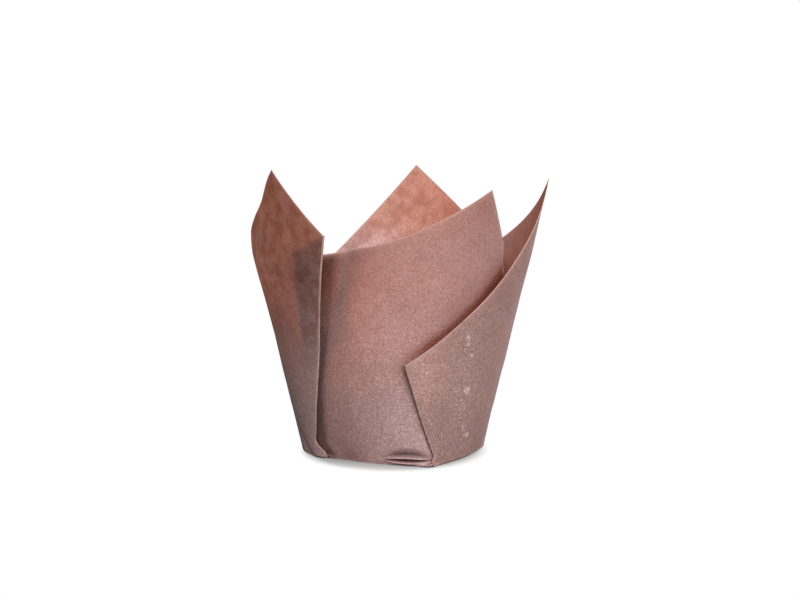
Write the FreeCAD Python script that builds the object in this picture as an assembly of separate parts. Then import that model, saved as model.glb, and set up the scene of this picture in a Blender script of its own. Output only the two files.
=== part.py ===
import FreeCAD, Part
import math
import os

# Cupcake liner with four pointed petals, folded from one square sheet of baking paper.
# The origin is the middle of the base and +Z is up. A turn is an angle about Z, in degrees,
# from the front (-Y) towards +X. A slant is a distance up the wall from the base crease.
# A lean is the angle between a line on the wall and the slant direction, + towards + turns.
SIZES = [
    ("sheet_side", 143.0, "side of the square sheet"),
    ("base_width", 50.0, "mean width of the base between opposite sides"),
    ("wall_flare", 12.6, "degrees that the wall leans outwards"),
    ("paper_thickness", 0.12, "thickness of the sheet"),
    ("layer_gap", 0.28, "room between two layers of a pleat"),
    ("pleat_root", 1.6, "width of a pleat where it meets the base"),
    ("corner_stand", 1.1, "how far the corners of the base stand out of its mean circle"),
    ("corner_fade", 41.0, "slant at which the corners have faded into a round wall"),
    ("front_tip_turn", 38.4, "turn of the front petal's tip"),
    ("front_tip_shift", -2.6, "how far that tip lies further up the wall than on a centred sheet"),
    ("front_tip_lean", 17.3, "lean of the front petal's middle line at its tip"),
    ("right_tip_turn", 87.7, "turn of the right petal's tip"),
    ("right_tip_shift", -1.2, "how far that tip lies further up the wall than on a centred sheet"),
    ("right_tip_lean", -4.5, "lean of the right petal's middle line at its tip"),
    ("back_tip_turn", 169.8, "turn of the back petal's tip"),
    ("back_tip_shift", 0.8, "how far that tip lies further up the wall than on a centred sheet"),
    ("back_tip_lean", 2.8, "lean of the back petal's middle line at its tip"),
    ("left_tip_turn", 315.7, "turn of the left petal's tip"),
    ("left_tip_shift", 2.8, "how far that tip lies further up the wall than on a centred sheet"),
    ("left_tip_lean", 7.2, "lean of the left petal's middle line at its tip"),
    ("front_right_turn", 26.0, "turn of the pleat between the front and right petals"),
    ("front_right_outer_lean", -20.2, "lean of its fold on the right petal"),
    ("front_right_inner_lean", 30.3, "lean of its fold on the front petal"),
    ("back_right_turn", 120.0, "turn of the pleat between the right and back petals"),
    ("back_right_outer_lean", 16.0, "lean of its fold on the right petal"),
    ("back_right_inner_lean", -16.4, "lean of its fold on the back petal"),
    ("back_left_turn", 212.0, "turn of the pleat between the back and left petals"),
    ("back_left_outer_lean", -14.0, "lean of its fold on the left petal"),
    ("back_left_inner_lean", 12.8, "lean of its fold on the back petal"),
    ("front_left_turn", 303.6, "turn of the double pleat between the left and front petals"),
    ("front_left_outer_lean", 18.0, "lean of its fold on the left petal"),
    ("front_left_inner_lean", 9.8, "lean of its two nested folds, one on the front petal"),
    ("front_left_tuck_lean", 32.0, "lean of its fold tucked behind the front petal"),
]

FULL_TURN = 360
RIGHT_EDGE = 135
LEFT_EDGE = 225
ROWS = 6
PETAL_COLUMNS = 6
LAYER_COLUMNS = 3
BEND_STRIPS = 3


def make_sheet(doc):
    sheet = doc.addObject("Spreadsheet::Sheet", "Sizes")
    for row, (alias, value, meaning) in enumerate(SIZES, start=1):
        sheet.set("A%d" % row, meaning)
        sheet.set("B%d" % row, str(value))
        sheet.setAlias("B%d" % row, alias)
    doc.recompute()
    return sheet


class Cone:
    """The wall's cone, and its development: the flat sheet that it unrolls to."""

    def __init__(self, sheet):
        self.flare = math.radians(sheet.wall_flare)
        self.base_radius = sheet.base_width / 2
        self.apex = self.base_radius / math.sin(self.flare)
        self.corner_stand = sheet.corner_stand
        self.corner_fade = sheet.corner_fade
        pleats = ("front_right", "back_right", "back_left", "front_left")
        self.corners = [
            sheet.get(pleat + "_turn") + lap
            for lap in (-FULL_TURN, 0, FULL_TURN)
            for pleat in pleats
        ]
        self.pitch = (sheet.paper_thickness + sheet.layer_gap) / math.cos(self.flare)
        self.half_paper = sheet.paper_thickness / 2 / math.cos(self.flare)

    def flat(self, turn, slant):
        angle = math.radians(turn) * math.sin(self.flare)
        reach = self.apex + slant
        return (reach * math.sin(angle), reach * math.cos(angle))

    def flat_direction(self, turn, lean):
        angle = math.radians(turn) * math.sin(self.flare) + math.radians(lean)
        return (math.sin(angle), math.cos(angle))

    def turn_of(self, point):
        return math.degrees(math.atan2(point[0], point[1])) / math.sin(self.flare)

    def slant_of(self, point):
        return math.hypot(point[0], point[1]) - self.apex

    def corner_rise(self, turn):
        for start, end in zip(self.corners, self.corners[1:]):
            if start <= turn <= end:
                return math.cos(2 * math.pi * (turn - start) / (end - start))

    def radius(self, turn, slant):
        fade = max(0.0, 1 - slant / self.corner_fade) ** 2
        round_wall = self.base_radius + slant * math.sin(self.flare)
        return round_wall + self.corner_stand * fade * self.corner_rise(turn)

    def place(self, turn, slant, layer, outwards=0.0, along=0.0):
        """A point in a layer, moved outwards and along the wall at the same height."""
        angle = math.radians(turn)
        radius = self.radius(turn, slant) + layer * self.pitch + outwards
        x = radius * math.sin(angle) + along * math.cos(angle)
        y = -radius * math.cos(angle) + along * math.sin(angle)
        return FreeCAD.Vector(x, y, slant * math.cos(self.flare))


def crossing(start_a, way_a, start_b, way_b):
    """Where two lines of the flat sheet cross."""
    spread = way_a[0] * way_b[1] - way_a[1] * way_b[0]
    gap = (start_b[0] - start_a[0], start_b[1] - start_a[1])
    run = (gap[0] * way_b[1] - gap[1] * way_b[0]) / spread
    return (start_a[0] + run * way_a[0], start_a[1] + run * way_a[1])


def mirrored_way(way, fold_way):
    """A direction of the flat sheet after a fold along another direction."""
    share = way[0] * fold_way[0] + way[1] * fold_way[1]
    return (2 * share * fold_way[0] - way[0], 2 * share * fold_way[1] - way[1])


class Petal:
    """A corner of the square sheet: a tip with a straight cut edge at 45 degrees on each side."""

    def __init__(self, cone, turn, slant, lean):
        self.tip = cone.flat(turn, slant)
        self.right_edge = cone.flat_direction(turn, lean + RIGHT_EDGE)
        self.left_edge = cone.flat_direction(turn, lean + LEFT_EDGE)


class Fold:
    """A straight fold line. Its root is on the base crease and its top on the cut edge."""

    def __init__(self, cone, pleat_turn, side, root_width, lean, layers):
        shift = math.degrees(side * root_width / 2 / cone.base_radius)
        self.side = side
        self.layers = layers
        self.root_turn = pleat_turn + shift
        self.root = cone.flat(self.root_turn, 0)
        self.way = cone.flat_direction(self.root_turn, lean)
        self.top = None

    def end_at(self, start, way):
        self.top = crossing(self.root, self.way, start, way)

    def turned_back(self, cone):
        """The same fold one full turn earlier, where the ribbon closes."""
        twin = Fold.__new__(Fold)
        twin.side = self.side
        twin.layers = self.layers
        twin.root_turn = self.root_turn - FULL_TURN
        twin.root = cone.flat(twin.root_turn, 0)
        twin.top = cone.flat(cone.turn_of(self.top) - FULL_TURN, cone.slant_of(self.top))
        return twin


class Line:
    """A line up the wall, from a turn on the base crease to a point on the cut edge."""

    def __init__(self, cone, root_turn, top):
        self.cone = cone
        self.root = cone.flat(root_turn, 0)
        self.top = top
        self.top_slant = cone.slant_of(top)

    def turn_at(self, slant):
        run = (self.top[0] - self.root[0], self.top[1] - self.root[1])
        reach = self.cone.apex + slant
        a = run[0] ** 2 + run[1] ** 2
        b = run[0] * self.root[0] + run[1] * self.root[1]
        c = self.cone.apex ** 2 - reach ** 2
        share = (math.sqrt(b * b - a * c) - b) / a
        return self.cone.turn_of((self.root[0] + share * run[0], self.root[1] + share * run[1]))

    def slants(self, low):
        return [low + (self.top_slant - low) * row / ROWS for row in range(ROWS + 1)]


def between(start, end, share):
    return (start[0] + (end[0] - start[0]) * share, start[1] + (end[1] - start[1]) * share)


def layer_grid(cone, start, end, columns, layer, side, low):
    """Columns of points from one line to the next, on the face of the paper given by side."""
    grid = []
    for column in range(columns + 1):
        share = column / columns
        root_turn = start[0] + (end[0] - start[0]) * share
        line = Line(cone, root_turn, between(start[1], end[1], share))
        grid.append([
            cone.place(line.turn_at(slant), slant, layer, outwards=side * cone.half_paper)
            for slant in line.slants(low)
        ])
    return grid


def bend_grids(cone, fold, side, low):
    """Narrow strips round a fold, which join the two layers that meet there."""
    first, last = fold.layers
    middle = (first + last) / 2
    outward_bend = math.copysign(1, last - first)
    radius = abs(last - first) * cone.pitch / 2 - side * outward_bend * fold.side * cone.half_paper
    line = Line(cone, fold.root_turn, fold.top)
    columns = []
    for step in range(BEND_STRIPS + 1):
        angle = math.pi * step / BEND_STRIPS
        outwards = -outward_bend * radius * math.cos(angle)
        along = fold.side * radius * math.sin(angle)
        columns.append([
            cone.place(line.turn_at(slant), slant, middle, outwards, along)
            for slant in line.slants(low)
        ])
    return [list(pair) for pair in zip(columns, columns[1:])]


def spline_through(points):
    curve = Part.BSplineCurve()
    last = len(points) - 1
    curve.interpolate(Points=points, Parameters=[i / last for i in range(last + 1)])
    return curve


def face_of(splines):
    """A surface across splines with equal knots: straight between two, smooth through more."""
    straight = len(splines) == 2
    across = [list(strip) for strip in zip(*[spline.getPoles() for spline in splines])]
    if straight:
        knots, counts, degree = [0, 1], [2, 2], 1
    else:
        rows = [spline_through(row) for row in across]
        across = [row.getPoles() for row in rows]
        knots, counts, degree = rows[0].getKnots(), rows[0].getMultiplicities(), 3
    along = splines[0]
    surface = Part.BSplineSurface()
    surface.buildFromPolesMultsKnots(
        across, along.getMultiplicities(), counts, along.getKnots(), knots, False, False, 3, degree,
    )
    return surface.toShape()


def grid_face(grid):
    """A face of the paper through columns of points. Neighbours that share a column share an edge."""
    return face_of([spline_through(column) for column in grid])


def row_spline(grid, row):
    points = [column[row] for column in grid]
    if len(points) == 2:
        return Part.LineSegment(*points)
    return spline_through(points)


def rim_face(outer_grid, inner_grid):
    """The cut edge of the paper between its two faces."""
    return Part.makeRuledSurface(
        row_spline(outer_grid, -1).toShape(), row_spline(inner_grid, -1).toShape()
    )


def flat_face(grids):
    """The flat face inside the closed outline that the grids' lowest rows make."""
    return Part.Face(Part.Wire([row_spline(grid, 0).toShape() for grid in grids]))


def make_petals(cone, sheet):
    """The four petals, and the front one again a full turn on, where the ribbon closes."""
    centred_slant = sheet.sheet_side / math.sqrt(2) - cone.base_radius

    def petal(name, laps=0):
        turn = sheet.get(name + "_tip_turn") + laps * FULL_TURN
        slant = centred_slant + sheet.get(name + "_tip_shift")
        return Petal(cone, turn, slant, sheet.get(name + "_tip_lean"))

    petals = {name: petal(name) for name in ("front", "right", "back", "left")}
    petals["front_again"] = petal("front", laps=1)
    return petals


def make_folds(cone, sheet, petals):
    """The folds in order round the cup, each with the petal before it, or None for a hidden layer.

    Their layers count outwards from the pleats' middle one.
    """

    def fold(pleat, part, side, layers):
        turn = sheet.get(pleat + "_turn")
        lean = sheet.get(pleat + "_" + part + "_lean")
        return Fold(cone, turn, side, sheet.pleat_root, lean, layers)

    front_right_inner = fold("front_right", "inner", 1, (-1, 0))
    front_right_outer = fold("front_right", "outer", -1, (0, 1))
    back_right_outer = fold("back_right", "outer", 1, (1, 0))
    back_right_inner = fold("back_right", "inner", -1, (0, -1))
    back_left_inner = fold("back_left", "inner", 1, (-1, 0))
    back_left_outer = fold("back_left", "outer", -1, (0, 1))
    front_left_outer = fold("front_left", "outer", 1, (1, 0))
    front_left_nest = fold("front_left", "inner", -1, (0, -3))
    front_left_tuck = fold("front_left", "tuck", 1, (-3, -2))
    front_left_inner = fold("front_left", "inner", -1, (-2, -1))

    front, right, back, left, front_again = petals.values()
    front_right_inner.end_at(front.tip, front.right_edge)
    front_right_outer.end_at(right.tip, right.left_edge)
    back_right_outer.end_at(right.tip, right.right_edge)
    back_right_inner.end_at(back.tip, back.left_edge)
    back_left_inner.end_at(back.tip, back.right_edge)
    back_left_outer.end_at(left.tip, left.left_edge)
    front_left_outer.end_at(left.tip, left.right_edge)
    folded_edge = mirrored_way(left.right_edge, front_left_outer.way)
    front_left_nest.end_at(front_left_outer.top, folded_edge)

    front_left_inner.end_at(front_again.tip, front_again.left_edge)
    folded_edge = mirrored_way(front_again.left_edge, front_left_inner.way)
    front_left_tuck.end_at(front_left_inner.top, folded_edge)

    return [
        (front_right_inner, front), (front_right_outer, None),
        (back_right_outer, right), (back_right_inner, None),
        (back_left_inner, back), (back_left_outer, None),
        (front_left_outer, left), (front_left_nest, None),
        (front_left_tuck, None), (front_left_inner, None),
    ]


def face_grids(cone, folds, side, low):
    """Grids of points over one whole face of the paper, in order round the cup."""
    grids = []
    before = folds[-1][0].turned_back(cone)
    for fold, petal in folds:
        layer = fold.layers[0]
        heading = fold.side
        start = (before.root_turn, before.top)
        end = (fold.root_turn, fold.top)
        if petal:
            middle = ((start[0] + end[0]) / 2, petal.tip)
            for a, b in ((start, middle), (middle, end)):
                grids.append(layer_grid(cone, a, b, PETAL_COLUMNS, layer, side * heading, low))
        else:
            grids.append(layer_grid(cone, start, end, LAYER_COLUMNS, layer, side * heading, low))
        grids.extend(bend_grids(cone, fold, side, low))
        before = fold
    return grids


def make_liner(sheet):
    cone = Cone(sheet)
    petals = make_petals(cone, sheet)
    folds = make_folds(cone, sheet, petals)
    floor = sheet.paper_thickness / math.cos(cone.flare)
    outside = face_grids(cone, folds, 1, 0.0)
    inside = face_grids(cone, folds, -1, floor)
    faces = [grid_face(grid) for grid in outside + inside]
    faces += [rim_face(outer, inner) for outer, inner in zip(outside, inside)]
    faces += [flat_face(outside), flat_face(inside)]
    shell = Part.makeShell(faces)
    shell.sewShape()
    solid = Part.makeSolid(shell)
    if solid.Volume < 0:
        solid.reverse()
    return solid


def main():
    doc = FreeCAD.newDocument("CupcakeLiner")
    sheet = make_sheet(doc)
    liner = doc.addObject("Part::Feature", "FoldedLiner")
    liner.Label = "folded_liner"
    liner.Shape = make_liner(sheet)
    doc.recompute()
    for item in doc.Objects:
        if "Invalid" in item.State or "Error" in item.State:
            raise RuntimeError(item.Label + " failed")
    if liner.Shape.isNull() or not liner.Shape.isValid():
        raise RuntimeError("the liner's shape is not valid")
    os.makedirs("parts", exist_ok=True)
    liner.Shape.exportStep("parts/" + liner.Label + ".step")
    box = liner.Shape.BoundBox
    print("solids", len(liner.Shape.Solids), "volume", liner.Shape.Volume, "area", liner.Shape.Area)
    print("box", box.XMin, box.YMin, box.ZMin, box.XMax, box.YMax, box.ZMax)


main()
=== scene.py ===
import math
from collections import namedtuple

import bpy
import numpy as np
from mathutils import Matrix, Vector, noise


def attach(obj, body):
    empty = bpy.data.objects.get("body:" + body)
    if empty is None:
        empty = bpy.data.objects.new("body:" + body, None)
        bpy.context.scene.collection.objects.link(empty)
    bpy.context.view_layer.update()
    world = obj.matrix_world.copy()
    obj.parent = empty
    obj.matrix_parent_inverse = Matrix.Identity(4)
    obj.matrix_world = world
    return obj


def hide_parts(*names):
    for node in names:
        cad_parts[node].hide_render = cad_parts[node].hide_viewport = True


# Cupcake liner with four pointed petals, folded from one square sheet of brown baking paper.
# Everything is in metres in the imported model's frame: +Z is up, the front is -Y, and the origin is
# the middle of the base. A turn is an angle about Z, in degrees, from the front towards +X. A
# slant is a distance up the wall from the base crease, and below zero a distance in from it on the
# base. A lean is the angle in degrees between a line on the wall and the slant direction, towards
# growing turns.
# The wall is a cone. It unrolls to a fan, whose points and directions are complex numbers here.

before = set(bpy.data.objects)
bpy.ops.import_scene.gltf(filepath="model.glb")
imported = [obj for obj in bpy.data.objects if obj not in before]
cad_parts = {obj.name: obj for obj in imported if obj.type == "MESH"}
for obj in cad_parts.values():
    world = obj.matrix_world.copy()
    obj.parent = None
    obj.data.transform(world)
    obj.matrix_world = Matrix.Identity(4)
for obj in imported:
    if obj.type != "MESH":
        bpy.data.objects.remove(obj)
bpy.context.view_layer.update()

MM = 0.001
FULL_TURN = 360.0

# Driving sizes, the same as in the part's own source
SHEET_SIDE = 143.0 * MM
BASE_WIDTH = 50.0 * MM
WALL_FLARE = math.radians(12.6)
PLEAT_ROOT = 1.6 * MM
PAPER_THICKNESS = 0.12 * MM
LAYER_GAP = 0.28 * MM
CORNER_STAND = 1.1 * MM
CORNER_FADE = 41.0 * MM

BASE_RADIUS = BASE_WIDTH / 2
APEX = BASE_RADIUS / math.sin(WALL_FLARE)
LAYER_PITCH = (PAPER_THICKNESS + LAYER_GAP) / math.cos(WALL_FLARE)
CENTRED_SLANT = SHEET_SIDE / math.sqrt(2) - BASE_RADIUS
EDGE_ANGLE = 135.0

# Petals' tips. A shift moves a tip further up the wall than on a sheet centred on the base. A sag
# lowers the middle of the cut edge before or after the tip.
Tip = namedtuple("Tip", "turn shift lean sag_before sag_after")
TIPS = {
    "front": Tip(38.4, -2.6 * MM, 17.3, 0.9 * MM, 0.0),
    "right": Tip(87.7, -1.2 * MM, -4.5, 0.0, 0.0),
    "back": Tip(169.8, 0.8 * MM, 2.8, 0.0, 0.9 * MM),
    "left": Tip(315.7, 2.8 * MM, 7.2, 0.0, 0.0),
}
PLEATS = {"front_right": 26.0, "back_right": 120.0, "back_left": 212.0, "front_left": 303.6}

# How the paper bends at its folds, and how the pleats open towards the top
FOLD_RADIUS = 0.17 * MM
NEST_RADIUS = 0.42 * MM
FOLD_SPREAD = 5.0 * MM
LIFT_SPREAD = 17.0 * MM
CREASE_RADIUS = 0.4 * MM
PLEAT_OPENING = 1.1
OPENING_SLANT = 60.0 * MM


def smooth(x):
    """A smooth step from 0 at x = 0 to 1 at x = 1."""
    x = np.clip(x, 0.0, 1.0)
    return x * x * (3 - 2 * x)


def bell(x, centre, width):
    """A bump of height 1 round a centre."""
    return np.exp(-(((x - centre) / width) ** 2))


def short_turn(turn):
    """The same turn, between -180 and 180 degrees."""
    return (turn + FULL_TURN / 2) % FULL_TURN - FULL_TURN / 2


# The flat sheet

def flat_way(turn, lean):
    """The direction on the flat sheet of a line with a lean, at a turn."""
    return np.exp(1j * (np.radians(turn) * math.sin(WALL_FLARE) + np.radians(lean)))


def flat_point(turn, slant):
    return (APEX + slant) * flat_way(turn, 0.0)


def turn_of(point):
    return np.degrees(np.angle(point)) / math.sin(WALL_FLARE)


def slant_of(point):
    return np.abs(point) - APEX


def cross(a, b):
    """The cross product of two directions of the flat sheet."""
    return (np.conj(a) * b).imag


def crossing(start_a, way_a, start_b, way_b):
    """Where two lines of the flat sheet cross."""
    return start_a + way_a * cross(start_b - start_a, way_b) / cross(way_a, way_b)


def turn_on_line(root, top, slant):
    """The turn at which the straight line through root and top passes a slant."""
    run = top - root
    a = np.abs(run) ** 2
    b = (run * np.conj(root)).real
    c = np.abs(root) ** 2 - (APEX + np.maximum(slant, 0.0)) ** 2
    share = (np.sqrt(b * b - a * c) - b) / a
    return turn_of(root + share * run)


class Petal:
    """A corner of the square sheet, with a straight cut edge on each side of its tip."""

    def __init__(self, name, laps=0):
        tip = TIPS[name]
        turn = tip.turn + laps * FULL_TURN
        self.name = name
        self.sags = (tip.sag_before, tip.sag_after)
        self.tip = flat_point(turn, CENTRED_SLANT + tip.shift)
        self.right_edge = flat_way(turn, tip.lean + EDGE_ANGLE)
        self.left_edge = flat_way(turn, tip.lean - EDGE_ANGLE)


class Fold:
    """A straight fold from the base crease to the cut edge. Layers count outwards from 0.

    The side, 1 or -1, says on which side of its pleat's turn the fold starts. The lift moves the
    fold's top outwards, and the rise moves it up.
    """

    def __init__(self, pleat, side, lean, layers, radius=FOLD_RADIUS, lift=0.0, rise=0.0):
        self.pleat = pleat
        self.side = side
        self.first, self.last = layers
        self.radius = radius
        self.lift = lift
        self.rise = rise
        self.turn = PLEATS[pleat] + side * math.degrees(PLEAT_ROOT / 2 / BASE_RADIUS)
        self.root = flat_point(self.turn, 0.0)
        self.way = flat_way(self.turn, lean)

    def end_at(self, start, way):
        """Ends the fold where it meets the line of a cut edge."""
        self.top = crossing(self.root, self.way, start, way)
        self.top_slant = slant_of(self.top)

    def folded(self, way):
        """A direction of the sheet after this fold."""
        return self.way ** 2 * np.conj(way)

    def centre(self, slant):
        """How far outside the wall the middle of the fold lies, apart from its lift."""
        return (self.first + self.last) / 2 * pitch(slant)

    def lifted(self, slant):
        """How far the fold stands off the layers under it, which grows towards its top."""
        return self.lift * np.clip(slant / self.top_slant, 0, 1) ** 1.5

    def offset(self, slant, layer):
        """How far outside the wall a layer lies where it meets the fold, apart from the lift."""
        other = self.last if layer == self.first else self.first
        return self.centre(slant) + math.copysign(self.radius, layer - other)

    def one_turn_back(self):
        """The same fold a full turn earlier, where the ribbon of paper closes."""
        twin = Fold.__new__(Fold)
        twin.__dict__.update(self.__dict__)
        spin = flat_way(-FULL_TURN, 0.0)
        twin.turn = self.turn - FULL_TURN
        twin.base_start = self.base_start - FULL_TURN
        twin.base_end = self.base_end - FULL_TURN
        twin.root = self.root * spin
        twin.top = self.top * spin
        return twin


def pitch(slant):
    """The room from layer to layer, which grows as the pleats open towards the top."""
    return LAYER_PITCH * (1 + PLEAT_OPENING * (np.maximum(slant, 0.0) / OPENING_SLANT) ** 2)


# How far to each side of its pleat a fold may end up on the base, in degrees
BASE_SPREAD = 1.0


def spread_on_base(folds):
    """On the base each pleat unfolds, so its folds get turns of their own, in order."""
    for pleat, turn in PLEATS.items():
        members = [fold for fold in folds if fold.pleat == pleat]
        steps = 2 * len(members) - 1
        for place, fold in enumerate(members):
            fold.base_start = turn + BASE_SPREAD * (4 * place / steps - 1)
            fold.base_end = turn + BASE_SPREAD * ((4 * place + 2) / steps - 1)


def make_folds():
    """The ten folds in order round the cup, and the petals by the place of their last fold."""
    front, right, back, left = (Petal(name) for name in TIPS)
    front_again = Petal("front", laps=1)

    front_right_inner = Fold("front_right", 1, lean=30.3, layers=(-1, 0))
    front_right_outer = Fold(
        "front_right", -1, lean=-20.2, layers=(0, 1),
        radius=0.32 * MM, lift=0.9 * MM, rise=-1.2 * MM,
    )
    back_right_outer = Fold("back_right", 1, lean=16.0, layers=(1, 0), lift=0.6 * MM)
    back_right_inner = Fold("back_right", -1, lean=-16.4, layers=(0, -1))
    back_left_inner = Fold("back_left", 1, lean=12.8, layers=(-1, 0))
    back_left_outer = Fold("back_left", -1, lean=-14.0, layers=(0, 1), lift=0.6 * MM)
    front_left_outer = Fold(
        "front_left", 1, lean=18.0, layers=(1, 0), radius=0.28 * MM, lift=1.2 * MM,
    )
    # The nested folds and the tuck lean a few degrees differently from the solid's
    front_left_nest = Fold("front_left", -1, lean=12.6, layers=(0, -3), radius=NEST_RADIUS)
    front_left_tuck = Fold("front_left", 1, lean=22.5, layers=(-3, -2), rise=4.4 * MM)
    front_left_inner = Fold("front_left", -1, lean=12.6, layers=(-2, -1), rise=1.3 * MM)

    front_right_inner.end_at(front.tip, front.right_edge)
    front_right_outer.end_at(right.tip, right.left_edge)
    back_right_outer.end_at(right.tip, right.right_edge)
    back_right_inner.end_at(back.tip, back.left_edge)
    back_left_inner.end_at(back.tip, back.right_edge)
    back_left_outer.end_at(left.tip, left.left_edge)
    front_left_outer.end_at(left.tip, left.right_edge)
    front_left_nest.end_at(front_left_outer.top, front_left_outer.folded(left.right_edge))
    front_left_inner.end_at(front_again.tip, front_again.left_edge)
    front_left_tuck.end_at(front_left_inner.top, front_left_inner.folded(front_again.left_edge))

    folds = [
        front_right_inner, front_right_outer, back_right_outer, back_right_inner,
        back_left_inner, back_left_outer, front_left_outer, front_left_nest,
        front_left_tuck, front_left_inner,
    ]
    spread_on_base(folds)
    return folds, {0: front, 2: right, 4: back, 6: left}


# The paper's own unevenness, as distances outwards

WAVE_LENGTH = 21 * MM
WAVE_HEIGHT = 0.55 * MM
BUCKLE_LENGTH = 5.5 * MM
BUCKLE_HEIGHT = 0.07 * MM


def wall_waves(turn, slant):
    """Soft waves and small buckles, the same for all layers at a place."""
    angle = np.radians(turn)
    radius = BASE_RADIUS + np.maximum(slant, 0.0) * math.sin(WALL_FLARE)
    points = np.stack([radius * np.sin(angle), -radius * np.cos(angle), slant], axis=-1)
    points = points.reshape(-1, 3)
    waves, buckles = (
        np.array([noise.noise(Vector(point / length)) for point in points]).reshape(slant.shape)
        for length in (WAVE_LENGTH, BUCKLE_LENGTH)
    )
    grown = 0.25 + 0.75 * smooth(slant / (45 * MM))
    return WAVE_HEIGHT * waves * grown + BUCKLE_HEIGHT * buckles


def ripple_line(slant):
    """The turn of the first ripple in the front petal."""
    return -14.0 - 0.10 * (slant / MM - 40.0)


# Ripples in the front petal: degrees past the first one, and height
RIPPLES = [(0.0, 0.16 * MM), (3.6, -0.10 * MM), (6.4, 0.12 * MM)]
RIPPLE_WIDTH = 1.3
CURL_DEPTH = 3.6 * MM
SLIT_DEPTH = 0.7 * MM


def petal_shape(name, turn, slant):
    """What one petal does by itself: the left one curls in, and the front one ripples."""
    turn = short_turn(turn)
    if name == "left":
        around = smooth((-40.0 - turn) / 26.0) * smooth((turn + 150.0) / 50.0)
        curl = around * smooth((slant - 53 * MM) / (24 * MM))
        slit = bell(turn, -57.5 - 1.4 * slant / MM, 2.4) * smooth((8 * MM - slant) / (5 * MM))
        return -CURL_DEPTH * curl - SLIT_DEPTH * slit
    if name == "front":
        past = turn - ripple_line(slant)
        fade = smooth((slant - 20 * MM) / (18 * MM))
        ripples = sum(height * bell(past, place, RIPPLE_WIDTH) for place, height in RIPPLES)
        return ripples * fade + pocket(turn, slant)
    return 0.0


TUCK_DEPTH = 5.0 * MM


def tucked_in(turn, slant):
    """How the front petal and the layers behind it draw in beside the left petal's fold."""
    aside = short_turn(turn) - (-52.0 + 0.5 * slant / MM)
    width = np.where(aside < 0, 7.0, 10.5)
    return -TUCK_DEPTH * bell(aside, 0.0, width) * smooth((slant - 18 * MM) / (44 * MM))


def off_right_petal(turn, slant):
    """How far a place lies from the right petal's cut edge, and how far down that edge."""
    right = Petal("right")
    point = flat_point(turn, slant) - right.tip
    return cross(right.left_edge, point), (point * np.conj(right.left_edge)).real


EDGE_DRAW = 1.1 * MM


def behind_right_petal(turn, slant):
    """How the front petal draws in along the right petal's cut edge."""
    turn = short_turn(turn)
    off_edge, down_edge = off_right_petal(turn, slant)
    upper = smooth((66 * MM - down_edge) / (40 * MM)) * smooth((105.0 - np.abs(turn)) / 15.0)
    return -EDGE_DRAW * (1 - smooth(off_edge / (8 * MM))) * upper


POCKET_TURN = 7.5
POCKET_HALF_WIDTH = 16.0
POCKET_SLANT = 1.2 * MM
# How far each height of the pocket lies outwards, from the lower lip to the hollow over it, in
# millimetres at its middle
POCKET_HEIGHTS = [-1.2, -0.9, -0.6, -0.35, -0.1, 0.3, 0.6, 0.85, 1.1, 1.5, 2.2, 3.6]
POCKET_REACHES = [0.0, 0.7, 1.2, -0.7, -2.0, -1.7, 0.6, 0.9, -0.6, -1.4, -0.8, 0.0]


def pocket(turn, slant):
    """The open fold at the foot of the front petal: a mouth with two lips and a hollow over it."""
    across = (turn - POCKET_TURN) / POCKET_HALF_WIDTH
    width = np.clip(1 - across ** 2, 0.0, 1.0)
    height = (slant - POCKET_SLANT) / MM / np.maximum(width, 0.05)
    return np.interp(height, POCKET_HEIGHTS, POCKET_REACHES) * width * MM


# Two corners of the foot and its flat side: turn, width in degrees, and how far it stands out
FOOT_BUMPS = [(19.0, 12.0, 2.0 * MM), (76.0, 8.0, 0.8 * MM), (-36.0, 14.0, -1.9 * MM)]
FOOT_FADE = 7 * MM
TAB_TURN = 18.0
TAB_REACH = 2.0 * MM


def foot_shape(turn, slant):
    """How the foot departs from its mean circle, with the small tab under the pocket."""
    turn = short_turn(turn)
    bumps = sum(reach * bell(turn, place, width) for place, width, reach in FOOT_BUMPS)
    tab = TAB_REACH * bell(turn, TAB_TURN, 4.5) * bell(slant, 0.0, 0.35 * MM)
    return bumps * np.exp(-np.maximum(slant, 0.0) / FOOT_FADE) + tab


def foot_twist(turn, slant):
    """How the folds at the front turn aside just above the base crease, in degrees."""
    turn = short_turn(turn)
    left = 8.0 * bell(turn, -55.0, 13.0) * smooth((5.5 * MM - slant) / (5 * MM))
    right = -3.5 * bell(turn, 26.0, 8.0) * smooth((3.0 * MM - slant) / (3 * MM))
    return left + right


CORNER_TURNS = [turn + lap for lap in (-FULL_TURN, 0, FULL_TURN) for turn in PLEATS.values()]


def foot_radius(turn, slant):
    """The radius of the mean wall at the base, with the soft corners at the pleats."""
    starts = np.array(CORNER_TURNS[:-1])
    ends = np.array(CORNER_TURNS[1:])
    place = np.clip(np.searchsorted(starts, turn, side="right") - 1, 0, len(starts) - 1)
    rise = np.cos(2 * np.pi * (turn - starts[place]) / (ends[place] - starts[place]))
    fade = np.clip(1 - np.maximum(slant, 0.0) / CORNER_FADE, 0.0, 1.0) ** 2
    return BASE_RADIUS + CORNER_STAND * fade * rise + foot_shape(turn, slant)


def profile(slant):
    """Distance outwards from the base crease, and height, with the crease rounded."""
    share = np.clip((slant + CREASE_RADIUS) / (2 * CREASE_RADIUS), 0.0, 1.0)
    reach = np.where(share <= 0, slant, -CREASE_RADIUS * (1 - share) ** 2)
    climb = np.where(share >= 1, slant, CREASE_RADIUS * share ** 2)
    reach = np.where(share >= 1, 0.0, reach)
    climb = np.where(share <= 0, 0.0, climb)
    return reach + climb * math.sin(WALL_FLARE), climb * math.cos(WALL_FLARE)


# Strips of the paper's mesh, in order round the cup

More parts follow.
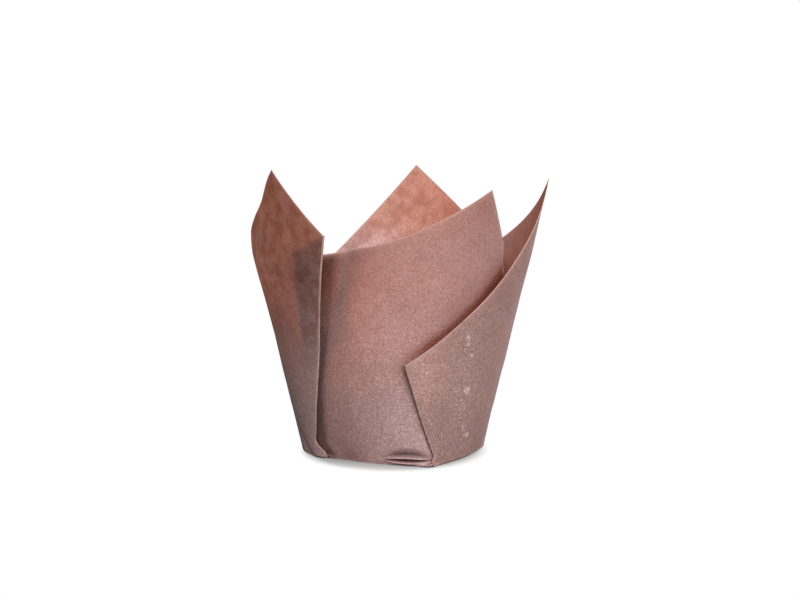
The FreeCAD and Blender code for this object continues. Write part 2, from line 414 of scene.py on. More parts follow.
BASE_SLANTS = -np.array([23.5, 21, 18, 15, 12, 9, 6.5, 4.6, 3.2, 2.2, 1.5, 1.0, 0.6, 0.3]) * MM
FOOT_SLANTS = np.concatenate([np.arange(0.0, 3.0, 0.12), np.arange(3.0, 6.0, 0.3)]) * MM
WALL_SHARES = np.linspace(0.0, 1.0, 56)
RIM_STEPS = np.array([0.5, 0.2, 0.0]) * MM
PETAL_SHARES = np.concatenate([
    [0.0, 0.004, 0.012, 0.028], np.linspace(0.05, 0.95, 45), [0.972, 0.988, 0.996],
])
LAYER_SHARES = np.concatenate([[0.0, 0.03], np.linspace(0.1, 0.9, 9), [0.97]])
BEND_ANGLES = np.radians([0.0, 45.0, 90.0, 135.0])
UNFOLD_REACH = 4.0 * MM
PLEAT_REACH = 2.5 * MM


def row_slants(top_slant):
    """The slants of the rows of columns that end at given slants."""
    low = np.tile(np.concatenate([BASE_SLANTS, FOOT_SLANTS]), (len(top_slant), 1))
    start = FOOT_SLANTS[-1] + 0.3 * MM
    end = (top_slant - 0.9 * MM)[:, None]
    wall = start + (end - start) * WALL_SHARES[None, :]
    rim = top_slant[:, None] - RIM_STEPS[None, :]
    return np.concatenate([low, wall, rim], axis=1)


Strip = namedtuple("Strip", "name inner turn base_turn slant offset along near_fold near_pleat")


def paper_strip(before, after, layer, shares, petal=None):
    """The paper between two folds: a petal, or a hidden layer of a pleat."""
    root_turn = before.turn + (after.turn - before.turn) * shares
    base_turn = before.base_end + (after.base_start - before.base_end) * shares
    if petal:
        first_half = before.top + (petal.tip - before.top) * 2 * shares
        last_half = petal.tip + (after.top - petal.tip) * (2 * shares - 1)
        top = np.where(shares < 0.5, first_half, last_half)
        rise = before.rise * (1 - smooth(shares / 0.3)) + after.rise * smooth((shares - 0.7) / 0.3)
        sag = np.where(shares < 0.5, petal.sags[0], petal.sags[1])
        rise = rise - sag * np.abs(np.sin(2 * np.pi * shares))
    else:
        top = before.top + (after.top - before.top) * shares
        rise = before.rise + (after.rise - before.rise) * shares
    slant = row_slants(slant_of(top) + rise)
    turn = turn_on_line(flat_point(root_turn, 0.0)[:, None], top[:, None], slant)
    arc = np.radians(BASE_RADIUS + np.maximum(slant, 0.0) * math.sin(WALL_FLARE))
    from_start = np.abs(turn - turn_on_line(before.root, before.top, slant)) * arc
    from_end = np.abs(turn - turn_on_line(after.root, after.top, slant)) * arc
    near_fold = np.minimum(from_start, from_end)
    start_offset = before.offset(slant, layer)
    end_offset = after.offset(slant, layer)
    if petal:
        own = layer * pitch(slant)
        at_start = 1 - smooth(from_start / FOLD_SPREAD)
        at_end = 1 - smooth(from_end / FOLD_SPREAD)
        offset = own + (start_offset - own) * at_start + (end_offset - own) * at_end
        offset = offset + before.lifted(slant) * (1 - smooth(from_start / LIFT_SPREAD))
        offset = offset + after.lifted(slant) * (1 - smooth(from_end / LIFT_SPREAD))
        near_pleat = np.exp(-near_fold / PLEAT_REACH)
    else:
        share = from_start / (from_start + from_end)
        start_offset = start_offset + before.lifted(slant)
        end_offset = end_offset + after.lifted(slant)
        offset = start_offset + (end_offset - start_offset) * share
        near_pleat = np.ones(slant.shape)
    base_turn = base_turn[:, None] * np.ones(slant.shape)
    name = petal.name if petal else None
    inner = layer < 0
    return Strip(name, inner, turn, base_turn, slant, offset, 0 * slant, near_fold, near_pleat)


def bend_strip(fold):
    """The tight bend of the paper round a fold."""
    top = np.full(len(BEND_ANGLES), fold.top)
    slant = row_slants(slant_of(top) + fold.rise)
    everywhere = np.ones(slant.shape)
    angles = BEND_ANGLES[:, None]
    heading = math.copysign(1.0, fold.first - fold.last)
    offset = fold.centre(slant) + fold.lifted(slant) + heading * fold.radius * np.cos(angles)
    along = fold.side * fold.radius * np.sin(angles) * everywhere
    base_turn = fold.base_start + (fold.base_end - fold.base_start) * angles / math.pi
    turn = turn_on_line(fold.root, fold.top, slant)
    base_turn = base_turn * everywhere
    inner = max(fold.first, fold.last) < 0
    return Strip(None, inner, turn, base_turn, slant, offset, along, 0 * slant, everywhere)


def place_points(strip):
    """Points of the paper. On the base the pleats unfold, and the outer layers lie lower."""
    slant = strip.slant
    unfolded = smooth(-slant / UNFOLD_REACH)
    turn = strip.turn + (strip.base_turn - strip.turn) * unfolded
    turn = turn + foot_twist(turn, slant) * (1 - unfolded)
    relief = wall_waves(turn, slant) + petal_shape(strip.name, turn, slant)
    if strip.inner:
        relief = relief + tucked_in(turn, slant)
        relief = relief + behind_right_petal(turn, slant)
    reach, height = profile(slant)
    on_wall = smooth((slant + CREASE_RADIUS) / (2 * CREASE_RADIUS))
    foot = foot_radius(turn, slant) * (1 + np.minimum(reach, 0.0) / BASE_RADIUS)
    radius = foot + np.maximum(reach, 0.0) + (strip.offset + relief) * on_wall
    in_pleat = strip.near_pleat * (1 - unfolded) * (1 - smooth(slant / UNFOLD_REACH))
    stack = np.maximum(LAYER_PITCH + FOLD_RADIUS - strip.offset, 0.0) * in_pleat
    angle = np.radians(turn)
    along = strip.along * (1 - unfolded)
    x = radius * np.sin(angle) + along * np.cos(angle)
    y = -radius * np.cos(angle) + along * np.sin(angle)
    z = height + stack + PAPER_THICKNESS / 2
    return np.stack([x, y, z], axis=-1)


def make_strips():
    """All strips in order round the cup: the paper up to each fold, then the fold's bend."""
    folds, petals = make_folds()
    strips = []
    before = folds[-1].one_turn_back()
    for place, fold in enumerate(folds):
        petal = petals.get(place)
        shares = PETAL_SHARES if petal else LAYER_SHARES
        strips.append(paper_strip(before, fold, fold.first, shares, petal))
        strips.append(bend_strip(fold))
        before = fold
    return strips


def add_lip(points):
    """The cut edge: one more row of points, turned in from the rim by the paper's thickness."""
    across = np.roll(points, -1, axis=0)[:, -1] - np.roll(points, 1, axis=0)[:, -1]
    up = points[:, -1] - points[:, -2]
    normal = np.cross(across, up)
    normal /= np.linalg.norm(normal, axis=1)[:, None]
    lip = points[:, -1] - normal * PAPER_THICKNESS
    return np.concatenate([points, lip[:, None]], axis=1)


# The paper's colour and wear, with the petals' painted light and shade, by place on the sheet

BASE_SHADE = 0.95
Tint = namedtuple("Tint", "shade warmth redness")
HIDDEN_TINT = Tint(0.85, 0.6, 0.0)

# Painted highlights and shade of the ripples near the top of the front petal, as pale and dark
# streaks: degrees past the first ripple, and shade
STREAKS = [(0.8, -0.07), (5.8, 0.05), (8.2, -0.07), (10.4, 0.06), (13.0, -0.04)]
STREAK_WIDTH = 1.0


def streaks(turn, slant):
    """What the streaks' painted highlights and shade add to the shade."""
    past = turn - ripple_line(slant)
    fade = smooth((slant - 26 * MM) / (16 * MM))
    return fade * sum(shade * bell(past, place, STREAK_WIDTH) for place, shade in STREAKS)


def past_left_fold(turn, slant):
    """How many degrees a place on the front petal lies past the left petal's fold."""
    return short_turn(turn) + 46.1 - 0.323 * slant / MM


def before_right_fold(turn, slant):
    """How many degrees a place on the front petal lies before the right petal's lower fold."""
    return 25.0 - 0.7 * slant / MM - short_turn(turn)


def back_low_left(turn, slant, start_turn, end_slant):
    """The low zone of the back petal that shows at the left in the photograph."""
    low = 1 - smooth((slant - end_slant) / (14 * MM))
    return smooth((turn % FULL_TURN - start_turn) / 14.0) * low


def front_tint(turn, slant):
    """The front petal: painted shade beside its neighbours and in the pocket, and painted highlights
    on the pocket's lips and its pale middle.
    """
    turn = short_turn(turn)
    # Painted shade: a band beside the left petal's fold, darkest in the crease along it.
    from_fold = np.maximum(past_left_fold(turn, slant), 0.0)
    beside_fold = bell(from_fold, 0.0, 4.4) * smooth((slant - 30 * MM) / (26 * MM))
    crevice = np.exp(-from_fold / 1.1)
    # Painted shadow under the right petal's cut edge: narrow and dark, with a wider soft part.
    off_edge, down_edge = off_right_petal(turn, slant)
    off_edge = np.maximum(off_edge, 0.0)
    by_edge = 0.36 * np.exp(-off_edge / (3.2 * MM)) + np.exp(-off_edge / (0.8 * MM))
    by_edge = by_edge * (1 - smooth((down_edge - 60 * MM) / (14 * MM)))
    # Painted shade beside the right petal's lower fold.
    by_right_fold = np.exp(-np.maximum(before_right_fold(turn, slant), 0.0) / 2.0)
    by_right_fold = by_right_fold * smooth(29 - slant / MM)
    # Painted shade in the pocket's hollows, and a painted highlight on its lips.
    folded_in = np.clip(-pocket(turn, slant) / (1.3 * MM), -0.45, 1.0)
    # Painted shade low at the left, and a painted highlight in the middle.
    lower_left = (1 - smooth((turn + 52.0) / 60.0)) * (1 - smooth(slant / (36 * MM)))
    middle = bell(turn, 6.0, 15.0) * (1 - smooth((slant - 36 * MM) / (22 * MM)))
    tip = smooth((slant - 58 * MM) / (12 * MM))
    low = 1 - smooth(slant / (34 * MM))
    shade = 1.0 + 0.12 * middle - 0.22 * lower_left - 0.16 * tip - 0.80 * folded_in
    shade = shade - 0.50 * by_edge - 0.40 * by_right_fold + streaks(turn, slant)
    shade = shade * (1 - 0.54 * beside_fold) * (1 - 0.62 * crevice)
    # The painted shade beside the fold and under the edge is also warmer and redder.
    warmth = 0.10 - 0.28 * low - 0.12 * middle + 0.25 * tip
    warmth = warmth + np.maximum(0.45 * by_edge, 1.1 * beside_fold)
    redness = 0.15 * np.maximum(by_edge, beside_fold) + 0.05 * smooth(-turn / 40.0)
    return Tint(shade, warmth, redness)


def right_tint(turn, slant):
    """The right petal: painted highlights on its front corner and cut edge, a darker foot, and a
    paler, greyer far side.
    """
    turn = short_turn(turn)
    # Painted highlight on the corner, which faces the light.
    corner = bell(turn, 13.0, 9.0) * bell(slant, 26 * MM, 9 * MM)
    foot = 1 - smooth(slant / (24 * MM))
    behind = smooth((turn - 98.0) / 20.0) * (1 - smooth((slant - 38 * MM) / (16 * MM)))
    far_side = smooth((turn - 58.0) / 34.0) * (1 - 0.8 * behind)
    off_edge, _ = off_right_petal(turn, slant)
    # Painted highlight along the cut edge, which also warms it.
    rim = np.exp(-np.abs(off_edge) / (0.4 * MM))
    shade = 0.87 + 0.29 * corner - 0.16 * foot + 0.18 * far_side + 0.75 * rim
    return Tint(shade, 0.20 - 0.66 * far_side + 0.30 * rim, 0.0)


def back_tint(turn, slant):
    """The back petal: pale and warm at the top, with a pink zone low at the photograph's left."""
    patch = bell(turn % FULL_TURN, 181.0, 6.0) * bell(slant, 53 * MM, 5 * MM)
    upper = smooth((slant - 26 * MM) / (24 * MM))
    pink = back_low_left(turn, slant, 168.0, 50 * MM) * upper
    shade = 0.95 + 0.42 * upper + 0.28 * patch + 0.05 * pink
    return Tint(shade, 0.25 + 0.30 * upper - 0.3 * patch - 0.85 * pink, 0.0)


def left_tint(turn, slant):
    """The left petal: painted shade, darker and warmer towards its tip, and darkest over the pleat's
    layers.
    """
    turn = short_turn(turn)
    # Painted shade, as the petal faces away from the lamps: darker towards the tip and over the
    # pleat's layers, paler and less warm at the upper far side.
    upper = smooth((slant - 40 * MM) / (12 * MM))
    far_side = smooth((-48.0 - turn) / 16.0) * upper
    in_layers = smooth((turn + 42.0) / 7.0) * upper
    high = smooth((slant - 12 * MM) / (54 * MM))
    shade = 1.12 - 0.42 * high + 0.22 * far_side - 0.12 * in_layers
    warmth = 0.40 * smooth(slant / (50 * MM)) - 0.20 - 0.5 * far_side + 0.3 * in_layers
    return Tint(shade, warmth, 0.0)


PETAL_TINTS = {"front": front_tint, "right": right_tint, "back": back_tint, "left": left_tint}


def paper_tint(strip):
    """What the paper's tone is multiplied by, mostly painted light and shade, with less green and
    blue where it is warm or red.
    """
    formula = PETAL_TINTS.get(strip.name)
    tint = formula(strip.turn, strip.slant) if formula else HIDDEN_TINT
    on_wall = smooth((strip.slant + 1.5 * MM) / (3 * MM))
    shade = BASE_SHADE + (tint.shade - BASE_SHADE) * on_wall
    warmth = tint.warmth * on_wall
    green = 1 - 0.24 * warmth - tint.redness
    blue = 1 - 0.40 * warmth - tint.redness
    return np.stack([shade, shade * green, shade * blue], axis=-1)


LEAST_BLOTCHES = 0.08
HIDDEN_BLOTCHES = 0.15
PETAL_BLOTCHES = {"front": 0.12, "right": 0.18, "back": 0.58, "left": 0.80}


def paper_blotches(strip):
    """How strongly the paper is clouded: most where grease has soaked it, towards the tips."""
    most = PETAL_BLOTCHES.get(strip.name, HIDDEN_BLOTCHES)
    grown = smooth((strip.slant - 22 * MM) / (28 * MM))
    return LEAST_BLOTCHES + (most - LEAST_BLOTCHES) * grown


# How much light passes at the foot, and how much more towards the top
HIDDEN_GLOW = (0.3, 0.3)
PETAL_GLOW = {
    "front": (0.25, 0.55), "right": (0.25, 0.35), "back": (0.75, 0.25), "left": (0.02, 0.62),
}


def paper_glow(strip):
    """How much light the paper lets through: less at the foot than towards the top."""
    low, more = PETAL_GLOW.get(strip.name, HIDDEN_GLOW)
    glow = low + more * smooth((strip.slant - 10 * MM) / (42 * MM))
    if strip.name == "front":
        upper = smooth((strip.slant - 26 * MM) / (14 * MM))
        near = 1 - smooth((past_left_fold(strip.turn, strip.slant) - 4.6) / 13.0)
        glow = glow * (1 - upper * near)
    if strip.name == "back":
        glow = glow * (1 - 0.35 * back_low_left(strip.turn, strip.slant, 170.0, 48 * MM))
    return glow


def rubbed(strip):
    """A trail of pale flecks down the right petal."""
    if strip.name != "right":
        return np.zeros(strip.slant.shape)
    across = short_turn(strip.turn) - 43.0 + 0.22 * strip.slant / MM
    along = smooth((42 * MM - strip.slant) / (10 * MM)) * smooth(strip.slant / (4 * MM))
    return bell(across, 0.0, 7.0) * along


# Paler paper at cut edges and folds: worn fibres, with a painted highlight where they catch the
# light.
EDGE_WEAR_AND_HIGHLIGHT = 0.35 * MM
FOLD_WEAR_AND_HIGHLIGHT = 0.12 * MM


def cut_edge(strip):
    """How close the paper is to its cut edge, which runs across the slant at about 45 degrees."""
    from_edge = (strip.slant[:, -1:] - strip.slant) * math.sin(math.radians(45))
    return np.exp(-from_edge / EDGE_WEAR_AND_HIGHLIGHT)


def fold_edge(strip):
    """How close the paper is to a fold of the wall, for its wear and painted highlight, which are
    fainter towards the foot.
    """
    wear_and_highlight = np.exp(-strip.near_fold / FOLD_WEAR_AND_HIGHLIGHT) * (0.55 + 0.45 * smooth(strip.slant / (40 * MM)))
    return np.where(strip.slant < 0, 0.0, wear_and_highlight)


# The larger rubbed places on the right petal: turn, slant in millimetres, and radius
SCUFFS = [
    (34.75, 34.75, 0.60 * MM), (36.0, 32.5, 0.35 * MM), (39.5, 29.25, 0.45 * MM),
    (38.5, 19.5, 0.95 * MM), (45.0, 7.0, 0.65 * MM), (41.0, 9.5, 0.40 * MM),
]


def scuff_places(strips):
    """Where the larger rubbed places lie in space, and their radii."""
    petal = next(strip for strip in strips if strip.name == "right")
    points = place_points(petal)
    places = []
    for turn, slant, radius in SCUFFS:
        away = np.abs(short_turn(petal.turn) - turn) * 0.5 + np.abs(petal.slant / MM - slant)
        nearest = np.unravel_index(np.argmin(away), away.shape)
        places.append((points[nearest], radius))
    return places


def set_values(mesh, name, strip_values, at_lip=None, at_centre=0.0):
    """Gives each point of the mesh a value. Unless said, the lip has the same as the rim."""
    values = np.concatenate(strip_values)
    lip = values[:, -1:] if at_lip is None else np.full((len(values), 1), at_lip)
    values = np.append(np.append(values, lip, axis=1).ravel(), at_centre)
    attribute = mesh.attributes.new(name, "FLOAT", "POINT")
    attribute.data.foreach_set("value", values.astype(np.float32))


TINT_NAMES = ("tint_red", "tint_green", "tint_blue")


def make_liner(strips):
    """The liner's mesh: one closed ring of columns, joined in the middle of the base."""
    points = add_lip(np.concatenate([place_points(strip) for strip in strips]))
    columns, rows = points.shape[:2]

    def index(column, row):
        return (column % columns) * rows + row

    faces = [
        (index(c, r), index(c + 1, r), index(c + 1, r + 1), index(c, r + 1))
        for c in range(columns)
        for r in range(rows - 1)
    ]
    vertices = points.reshape(-1, 3).tolist()
    vertices.append((0.0, 0.0, PAPER_THICKNESS / 2))
    faces += [(len(vertices) - 1, index(c + 1, 0), index(c, 0)) for c in range(columns)]

    mesh = bpy.data.meshes.new("folded_paper")
    mesh.from_pydata(vertices, [], faces)
    mesh.update()
    tints = [paper_tint(strip) for strip in strips]
    for channel, name in enumerate(TINT_NAMES):
        set_values(mesh, name, [tint[..., channel] for tint in tints], at_centre=1.0)
    set_values(mesh, "blotchy", [paper_blotches(strip) for strip in strips])
    set_values(mesh, "glow", [paper_glow(strip) for strip in strips])
    set_values(mesh, "rubbed", [rubbed(strip) for strip in strips])
    set_values(mesh, "cut_edge", [cut_edge(strip) for strip in strips], at_lip=1.0)
    set_values(mesh, "fold_edge", [fold_edge(strip) for strip in strips], at_lip=0.0)
    mesh.shade_smooth()
    liner = bpy.data.objects.new("folded_paper", mesh)
    bpy.context.scene.collection.objects.link(liner)
    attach(liner, "root")
    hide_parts("folded_liner")
    return liner


# Materials

class Nodes:
    """Short ways to add nodes to one material or world."""

    def __init__(self, owner):
        owner.use_nodes = True
        self.tree = owner.node_tree
        self.tree.nodes.clear()

    def add(self, kind, settings=None, **inputs):
        node = self.tree.nodes.new(kind)
        for name, value in (settings or {}).items():
            setattr(node, name, value)
        for name, value in inputs.items():
            self.feed(node.inputs[name.replace("_", " ")], value)
        return node

    def feed(self, socket, value):
        if isinstance(value, bpy.types.NodeSocket):
            self.tree.links.new(value, socket)
        else:
            socket.default_value = value

    def math(self, operation, a, b):
        node = self.add("ShaderNodeMath", {"operation": operation})
        self.feed(node.inputs[0], a)
        self.feed(node.inputs[1], b)
        return node.outputs[0]

    def blend(self, share, a, b, kind="MIX"):
        """A mix of two colours, whose sockets are inputs 6 and 7."""
        node = self.add("ShaderNodeMix", {"data_type": "RGBA", "blend_type": kind})
        self.feed(node.inputs["Factor"], share)
        self.feed(node.inputs[6], a)
        self.feed(node.inputs[7], b)
        return node.outputs[2]

    def mix(self, share, first, second):
        """A mix of two shaders."""
        node = self.add("ShaderNodeMixShader")
        for socket, value in zip(node.inputs, (share, first, second)):
            self.feed(socket, value)
        return node.outputs[0]

    def spread(self, value, low, high, to_low=0.0, to_high=1.0):
        """Maps low..high to to_low..to_high and clamps."""
        node = self.add("ShaderNodeMapRange", {"interpolation_type": "LINEAR"}, Value=value)
        self.feed(node.inputs["From Min"], low)
        self.feed(node.inputs["From Max"], high)
        self.feed(node.inputs["To Min"], to_low)
        self.feed(node.inputs["To Max"], to_high)
        return node.outputs[0]

    def noise(self, vector, size, detail=2.0, roughness=0.5):
        """Noise whose features are about one size across."""
        node = self.add("ShaderNodeTexNoise", Vector=vector, Scale=1 / size)
        node.inputs["Detail"].default_value = detail
        node.inputs["Roughness"].default_value = roughness
        return node.outputs["Fac"]

    def attribute(self, name):
        """A value that the mesh's points carry."""
        return self.add("ShaderNodeAttribute", {"attribute_name": name}).outputs["Fac"]


PAPER_TONE = (0.50, 0.310, 0.298, 1)
PAPER_LIGHT_TONE = (0.62, 0.41, 0.40, 1)
PAPER_DARK_TONE = (0.35, 0.200, 0.185, 1)
PAPER_BLOTCH_TONE = (0.28, 0.110, 0.080, 1)
# The pale tone of worn fibres and specks, and of the painted highlights on cut edges and folds
WORN_AND_HIGHLIGHT_TONE = (0.68, 0.46, 0.41, 1)
SCUFF_TONE = (0.95, 0.73, 0.64, 1)
GLOW_TONE = (0.98, 0.270, 0.095, 1)
GLOW_DARK_TONE = (0.58, 0.130, 0.040, 1)
GLOW_SHARE = 0.28

CLOUD_SIZE = 14 * MM
BLOTCH_SIZE = 4.0 * MM
MOTTLE_SIZE = 2.6 * MM
FLECK_SIZE = 0.6 * MM
GRAIN_SIZE = 0.55 * MM
SPECK_SIZE = 0.45 * MM
BUMP_HEIGHT = 0.10 * MM
SCUFF_RAGGEDNESS = 5.0
SCUFF_STRENGTH = 0.75


def scuff_mask(nodes, place, roughened, scuffs):
    """The larger rubbed places: pale, with ragged outlines and a darker middle."""
    mask = 0.0
    ragged = nodes.math("MULTIPLY", nodes.math("SUBTRACT", roughened, 0.5), SCUFF_RAGGEDNESS)
    for centre, radius in scuffs:
        distance = nodes.add("ShaderNodeVectorMath", {"operation": "DISTANCE"})
        nodes.feed(distance.inputs[0], place)
        nodes.feed(distance.inputs[1], tuple(float(v) for v in centre))
        across = nodes.math("ADD", nodes.math("DIVIDE", distance.outputs["Value"], radius), ragged)
        inside = nodes.spread(across, 0.75, 1.05, 1.0, 0.0)
        off_middle = nodes.spread(across, 0.10, 0.45)
        mask = nodes.math("MAXIMUM", nodes.math("MULTIPLY", inside, off_middle), mask)
    return nodes.math("MULTIPLY", mask, SCUFF_STRENGTH)


def paper_material(scuffs):
    """Brown baking paper: its tone, wear and rubbed places, its tint with painted light and shade,
    painted highlights on cut edges and folds, and the light through it.
    """
    material = bpy.data.materials.new("brown_baking_paper")
    nodes = Nodes(material)
    place = nodes.add("ShaderNodeTexCoord").outputs["Object"]

    clouds = nodes.noise(place, CLOUD_SIZE, 3.0)
    mottle = nodes.noise(place, MOTTLE_SIZE, 4.0, 0.6)
    grain = nodes.noise(place, GRAIN_SIZE, 3.0, 0.7)
    specks = nodes.noise(place, SPECK_SIZE, 1.0)

    tone = nodes.blend(nodes.spread(clouds, 0.3, 0.7, 0.0, 0.35), PAPER_TONE, PAPER_DARK_TONE)
    tone = nodes.blend(nodes.spread(mottle, 0.35, 0.75, 0.0, 0.40), tone, PAPER_LIGHT_TONE)
    tone = nodes.blend(nodes.spread(grain, 0.38, 0.56, 1.0, 0.0), tone, PAPER_DARK_TONE)
    height = nodes.add("ShaderNodeSeparateXYZ", Vector=place).outputs["Z"]
    speck_strength = nodes.spread(height, 20 * MM, 60 * MM, 0.90, 0.45)
    speckled = nodes.math("MULTIPLY", nodes.spread(specks, 0.55, 0.68), speck_strength)
    tone = nodes.blend(speckled, tone, WORN_AND_HIGHLIGHT_TONE)

    # The tint carries the painted light and shade of the petals.
    tint = nodes.add("ShaderNodeCombineColor")
    for socket, name in zip(tint.inputs, TINT_NAMES):
        nodes.feed(socket, nodes.attribute(name))
    blotches = nodes.spread(nodes.noise(place, BLOTCH_SIZE, 4.0, 0.6), 0.42, 0.62)
    blotched = nodes.math("MULTIPLY", blotches, nodes.attribute("blotchy"))
    tone = nodes.blend(blotched, tone, PAPER_BLOTCH_TONE)
    tone = nodes.blend(1.0, tone, tint.outputs[0], "MULTIPLY")
    # Cut edges and folds turn paler, with wear and a painted highlight.
    uneven_edge = nodes.spread(mottle, 0.3, 0.6, 0.40, 0.85)
    uneven_fold = nodes.spread(mottle, 0.3, 0.6, 0.20, 0.55)
    edge_wear_and_highlight = nodes.math("MULTIPLY", nodes.attribute("cut_edge"), uneven_edge)
    fold_wear_and_highlight = nodes.math("MULTIPLY", nodes.attribute("fold_edge"), uneven_fold)
    tone = nodes.blend(nodes.math("MAXIMUM", edge_wear_and_highlight, fold_wear_and_highlight), tone, WORN_AND_HIGHLIGHT_TONE)
    flecks = nodes.spread(nodes.noise(place, FLECK_SIZE, 2.0, 0.6), 0.58, 0.68, 0.0, 0.55)
    scuffed = nodes.math("MULTIPLY", flecks, nodes.attribute("rubbed"))
    scuffed = nodes.math("MAXIMUM", scuffed, scuff_mask(nodes, place, grain, scuffs))
    tone = nodes.blend(scuffed, tone, SCUFF_TONE)

    coarse = nodes.math("MULTIPLY", mottle, 0.5)
    relief = nodes.math("ADD", coarse, nodes.math("MULTIPLY", grain, 0.3))
    bump = nodes.add("ShaderNodeBump", Height=relief, Strength=0.35, Distance=BUMP_HEIGHT)
    rough = nodes.spread(mottle, 0.3, 0.7, 0.48, 0.66)

    surface = nodes.add("ShaderNodeBsdfPrincipled", Roughness=rough, Normal=bump.outputs[0])
    nodes.feed(surface.inputs["Base Color"], tone)
    surface.inputs["Specular IOR Level"].default_value = 0.35
    formation = nodes.math("ADD", nodes.math("MULTIPLY", clouds, 0.5), coarse)
    glow = nodes.blend(nodes.spread(formation, 0.38, 0.62), GLOW_TONE, GLOW_DARK_TONE)
    glow = nodes.blend(nodes.math("MULTIPLY", blotched, 0.7), glow, GLOW_DARK_TONE)
    through = nodes.add("ShaderNodeBsdfTranslucent", Color=glow, Normal=bump.outputs[0])
    share = nodes.math("MULTIPLY", nodes.attribute("glow"), GLOW_SHARE)
    both = nodes.mix(share, surface.outputs[0], through.outputs[0])
    nodes.add("ShaderNodeOutputMaterial", Surface=both)
    return material


FLOOR_REAL_TONE = (0.28, 0.28, 0.28, 1)
FLOOR_SEEN_TONE = (0.36, 0.36, 0.36, 1)
FLOOR_SELF_LIGHT = 0.74
SHADOW_MIDDLE = (0.1 * MM, -7.1 * MM, 0.0)
SHADOW_NEAR = 22.3 * MM
SHADOW_FAR = 25.8 * MM
CONTACT_REACH = 10.0 * MM


def floor_material():
    """White to the camera apart from the object's shadow, which is partly real and partly a painted
    contact shadow. It reflects light as a grey surface.
    """
    material = bpy.data.materials.new("white_floor")
    nodes = Nodes(material)
    seen = nodes.add("ShaderNodeLightPath").outputs["Is Camera Ray"]
    place = nodes.add("ShaderNodeTexCoord").outputs["Object"]
    distance = nodes.add("ShaderNodeVectorMath", {"operation": "DISTANCE"})
    nodes.feed(distance.inputs[0], place)
    nodes.feed(distance.inputs[1], SHADOW_MIDDLE)
    far = nodes.spread(distance.outputs["Value"], SHADOW_NEAR, SHADOW_FAR)
    real = nodes.add("ShaderNodeBsdfDiffuse", Color=FLOOR_REAL_TONE)
    shadowed = nodes.add("ShaderNodeBsdfDiffuse", Color=FLOOR_SEEN_TONE)
    # Painted contact shadow: near the object the floor's glow dims with ambient occlusion.
    openness = nodes.add("ShaderNodeAmbientOcclusion", Distance=CONTACT_REACH).outputs["AO"]
    glow_with_painted_contact_shadow = nodes.math("MULTIPLY", nodes.math("POWER", openness, 2.0), FLOOR_SELF_LIGHT)
    dim = nodes.add("ShaderNodeEmission", Strength=glow_with_painted_contact_shadow)
    near = nodes.add("ShaderNodeAddShader")
    nodes.feed(near.inputs[0], shadowed.outputs[0])
    nodes.feed(near.inputs[1], dim.outputs[0])
    white = nodes.add("ShaderNodeEmission", Strength=1.0)
    shown = nodes.mix(far, near.outputs[0], white.outputs[0])
    both = nodes.mix(seen, real.outputs[0], shown)
    nodes.add("ShaderNodeOutputMaterial", Surface=both)
    return material


# Stage, light and camera

FLOOR_HALF_WIDTH = 3.0


def make_floor():
    """A plain square floor under the liner."""
    high = FLOOR_HALF_WIDTH
    low = -high
    corners = [(low, low, 0), (high, low, 0), (high, high, 0), (low, high, 0)]
    mesh = bpy.data.meshes.new("floor")
    mesh.from_pydata(corners, [], [(0, 1, 2, 3)])
    mesh.materials.append(floor_material())
    floor = bpy.data.objects.new("floor", mesh)
    bpy.context.scene.collection.objects.link(floor)


WORLD_LIGHT = 0.12


def make_world():
    """White to the camera, and a weak even light to everything else."""
    world = bpy.data.worlds.new("white_room")
    bpy.context.scene.world = world
    nodes = Nodes(world)
    seen = nodes.add("ShaderNodeLightPath").outputs["Is Camera Ray"]
    strength = nodes.spread(seen, 0.0, 1.0, WORLD_LIGHT, 1.0)
    white = nodes.add("ShaderNodeBackground", Strength=strength)
    white.inputs["Color"].default_value = (1, 1, 1, 1)
    nodes.add("ShaderNodeOutputWorld", Surface=white.outputs[0])


AIM_HEIGHT = 40.0 * MM


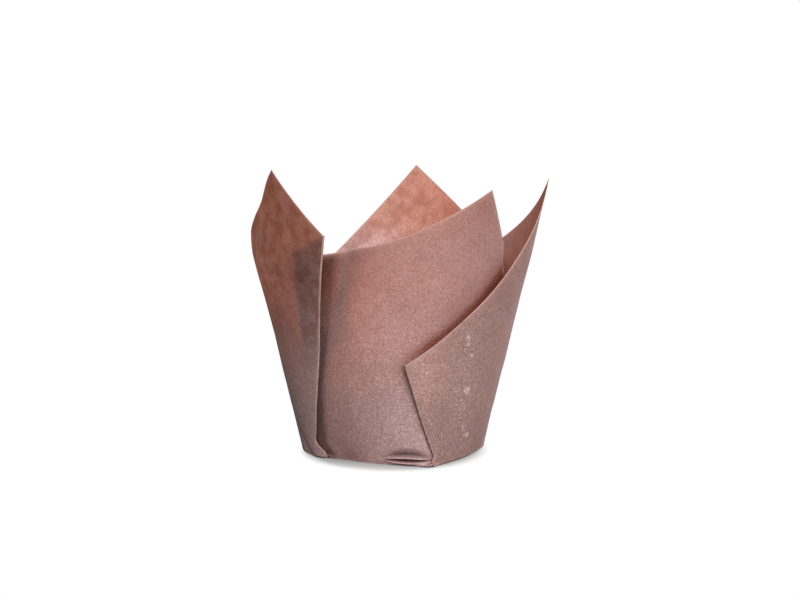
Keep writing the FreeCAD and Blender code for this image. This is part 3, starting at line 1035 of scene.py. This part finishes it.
def add_softbox(name, azimuth, elevation, distance, size, level):
    """A square lamp. The level is the light it gives a white surface at the object's middle."""
    lamp = bpy.data.lights.new(name, "AREA")
    lamp.shape = "SQUARE"
    lamp.size = size
    lamp.energy = level * math.pi ** 2 * distance ** 2
    turn = math.radians(azimuth)
    climb = math.radians(elevation)
    towards = Vector((
        math.cos(climb) * math.sin(turn), -math.cos(climb) * math.cos(turn), math.sin(climb),
    ))
    place = Vector((0.0, 0.0, AIM_HEIGHT)) + distance * towards
    softbox = bpy.data.objects.new(name, lamp)
    facing = towards.to_track_quat("Z", "Y").to_matrix().to_4x4()
    softbox.matrix_world = Matrix.Translation(place) @ facing
    bpy.context.scene.collection.objects.link(softbox)


def make_lights():
    add_softbox("front_softbox", azimuth=20.0, elevation=28.0, distance=0.9, size=0.70, level=1.16)
    add_softbox("back_softbox", azimuth=135.0, elevation=34.0, distance=0.8, size=0.55, level=1.00)


SENSOR_WIDTH = 36.0
PHOTO_WIDTH = 800
FOCAL_PIXELS = 1460.8
CAMERA_DISTANCE = 399.6 * MM
CAMERA_ELEVATION = math.radians(7.69)
CAMERA_ROLL = math.radians(-0.30)
AIM_SIDE_PIXELS = 7.0


def make_camera():
    """The photograph's camera, level but for a small roll, and looking slightly down."""
    data = bpy.data.cameras.new("photo_camera")
    data.sensor_width = SENSOR_WIDTH
    data.lens = SENSOR_WIDTH * FOCAL_PIXELS / PHOTO_WIDTH
    data.clip_start = 10 * MM
    aside = CAMERA_DISTANCE * AIM_SIDE_PIXELS / FOCAL_PIXELS
    aim = Vector((aside, 0.0, AIM_HEIGHT))
    back = Vector((0.0, -math.cos(CAMERA_ELEVATION), math.sin(CAMERA_ELEVATION)))
    place = Vector((0.0, 0.0, AIM_HEIGHT)) + back * CAMERA_DISTANCE
    camera = bpy.data.objects.new("photo_camera", data)
    facing = (place - aim).to_track_quat("Z", "Y").to_matrix().to_4x4()
    camera.matrix_world = Matrix.Translation(place) @ facing @ Matrix.Rotation(CAMERA_ROLL, 4, "Z")
    bpy.context.scene.collection.objects.link(camera)
    bpy.context.scene.camera = camera


def main():
    bpy.context.scene.view_settings.view_transform = "Standard"
    strips = make_strips()
    liner = make_liner(strips)
    liner.data.materials.append(paper_material(scuff_places(strips)))
    make_floor()
    make_world()
    make_lights()
    make_camera()


main()
